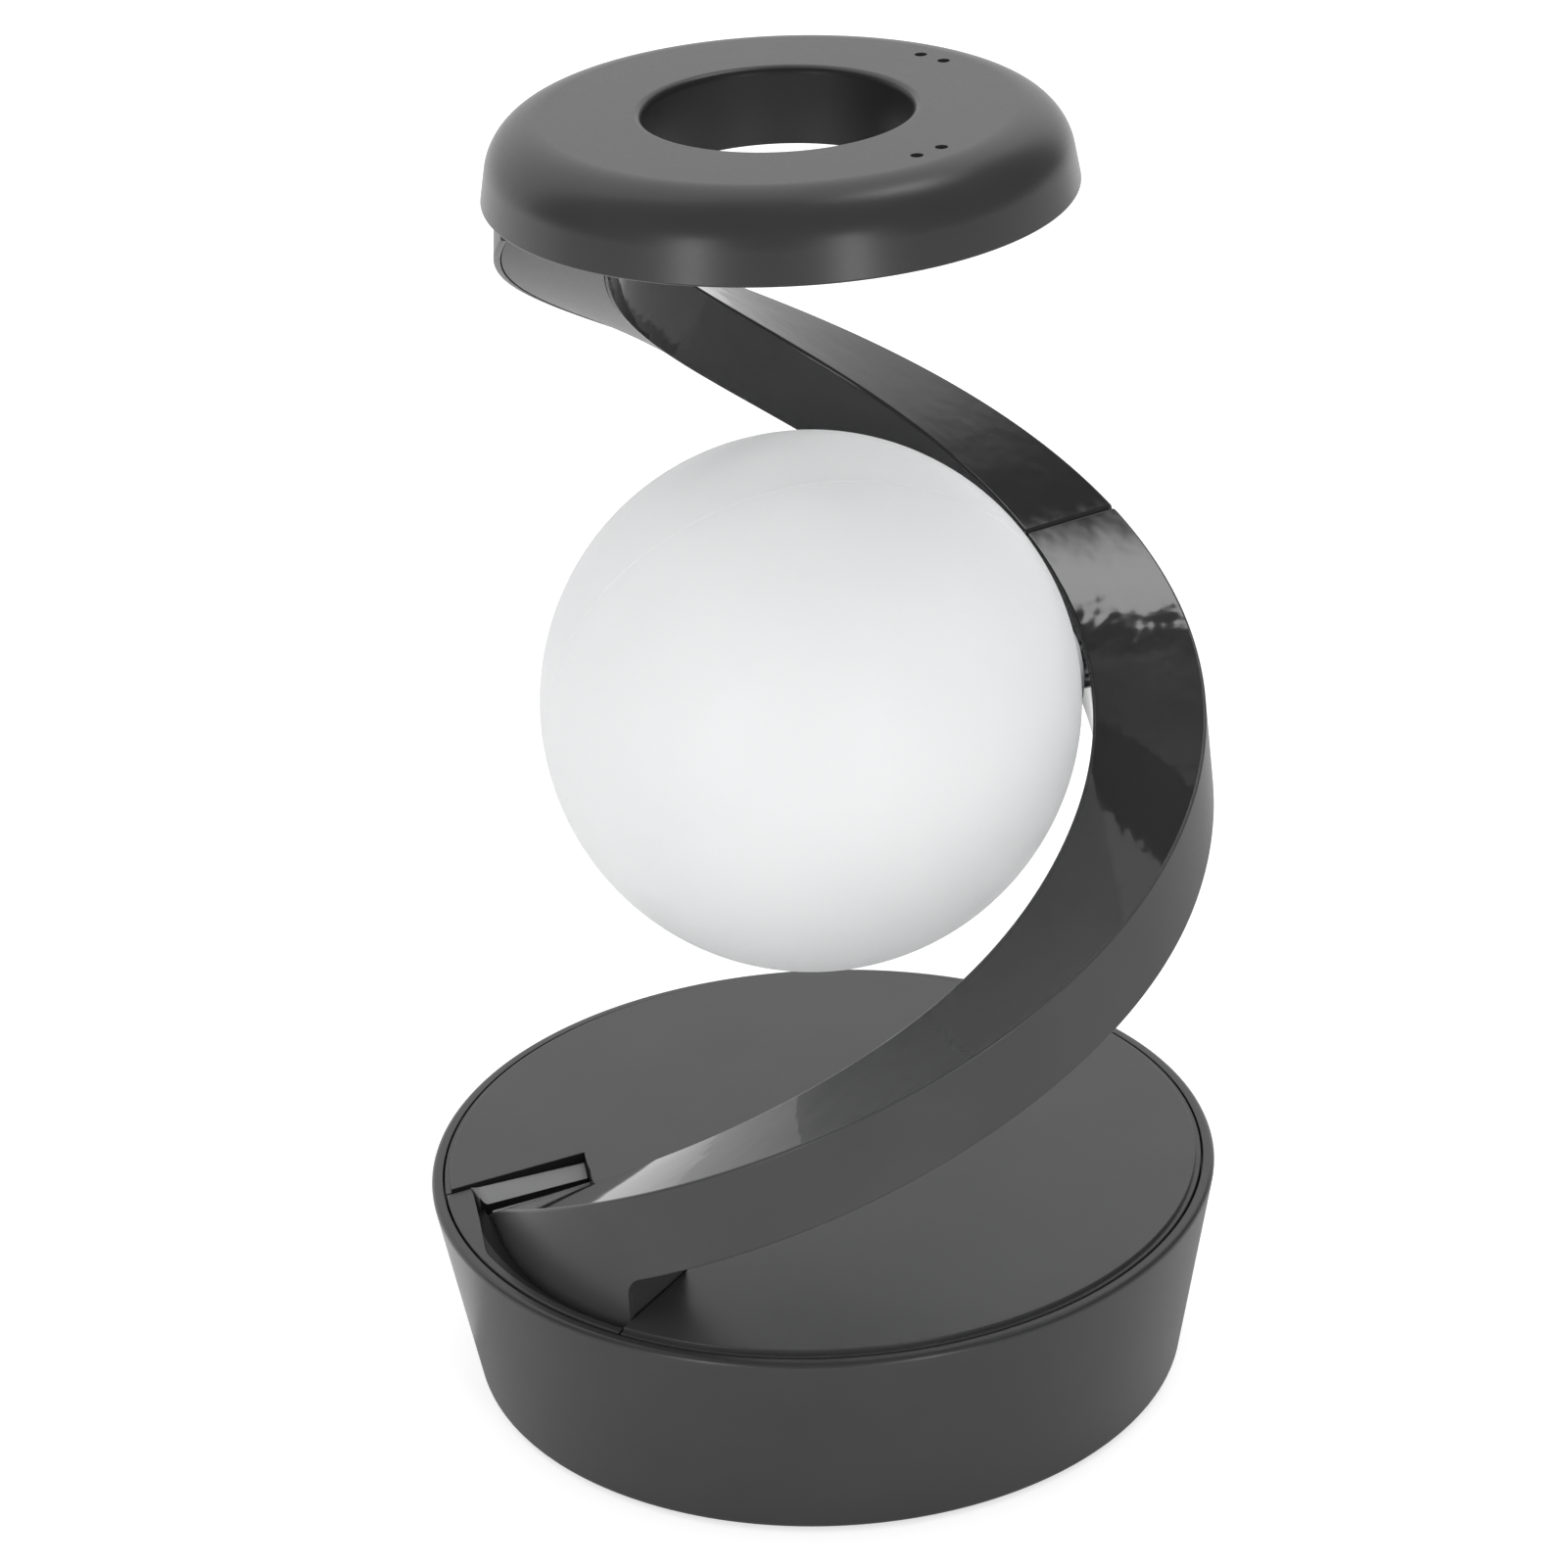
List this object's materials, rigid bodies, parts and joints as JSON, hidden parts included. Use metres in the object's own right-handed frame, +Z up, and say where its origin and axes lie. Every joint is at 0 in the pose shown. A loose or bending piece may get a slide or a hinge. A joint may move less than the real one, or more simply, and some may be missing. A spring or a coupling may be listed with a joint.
{
  "type": "spiral table lamp",
  "caption": "Table lamp: round drum base, dark helical arm winding up around an opal globe light that turns on a side axle, and a flat ring head on top.",
  "frame": {"origin": "on the table, under the middle of the round base", "axes": "+Z up through the ring head; front of the lamp towards -Y; the power socket towards +Y; the arm rises counter-clockwise seen from above"},
  "size_m": [0.12, 0.12, 0.1987],
  "materials": {
    "dark_shell": "fine satin moulding, dark grey",
    "dark_plate": "matte dark grey, finely textured",
    "dark_arm": "satin outside, glossy top and inside, dark grey",
    "opal_white": "opal white diffuser, soft sheen",
    "black_rubber": "soft, matte",
    "plain_steel": "plated",
    "plain_aluminium": "turned",
    "board_green": "circuit board lacquer",
    "board_black": "moulded component cases",
    "copper_foil": "bare foil",
    "white_nylon": "plain",
    "chip_yellow": "phosphor"
  },
  "bodies": {
    "lamp": {"base_shell": "dark_shell", "top_plate": "dark_plate", "bottom_cover": "dark_shell", "foot_pads": "black_rubber", "cover_screws": "plain_steel", "ballast_plate": "plain_steel", "main_board": "board_green", "board_parts": "board_black", "board_screws": "plain_steel", "usb_socket": "plain_steel", "touch_electrode": "copper_foil", "arm_foot": "dark_shell", "foot_screws": "plain_steel", "arm_lower_shell": "dark_arm", "arm_lower_strip": "dark_arm", "arm_splice": "dark_arm", "arm_upper_shell": "dark_arm", "arm_upper_strip": "dark_arm", "axle_bracket": "plain_aluminium", "axle": "plain_steel", "axle_nut": "plain_steel", "thrust_washer": "white_nylon", "led_post": "plain_aluminium", "led_board": "white_nylon", "led_chips": "chip_yellow", "ring_shell": "dark_shell", "ring_cover": "dark_shell", "ring_board": "board_green", "ring_screws": "plain_steel"},
    "globe": {"globe_hub": "opal_white", "globe_front": "opal_white", "globe_rear": "opal_white"}
  },
  "joints": [
    {"name": "globe_turn", "type": "hinge", "parent": "lamp", "child": "globe", "pos_m": [0.00117, 0.00025, 0.1084], "axis": [0.9781, 0.2079, 0], "continuous": true}
  ]
}
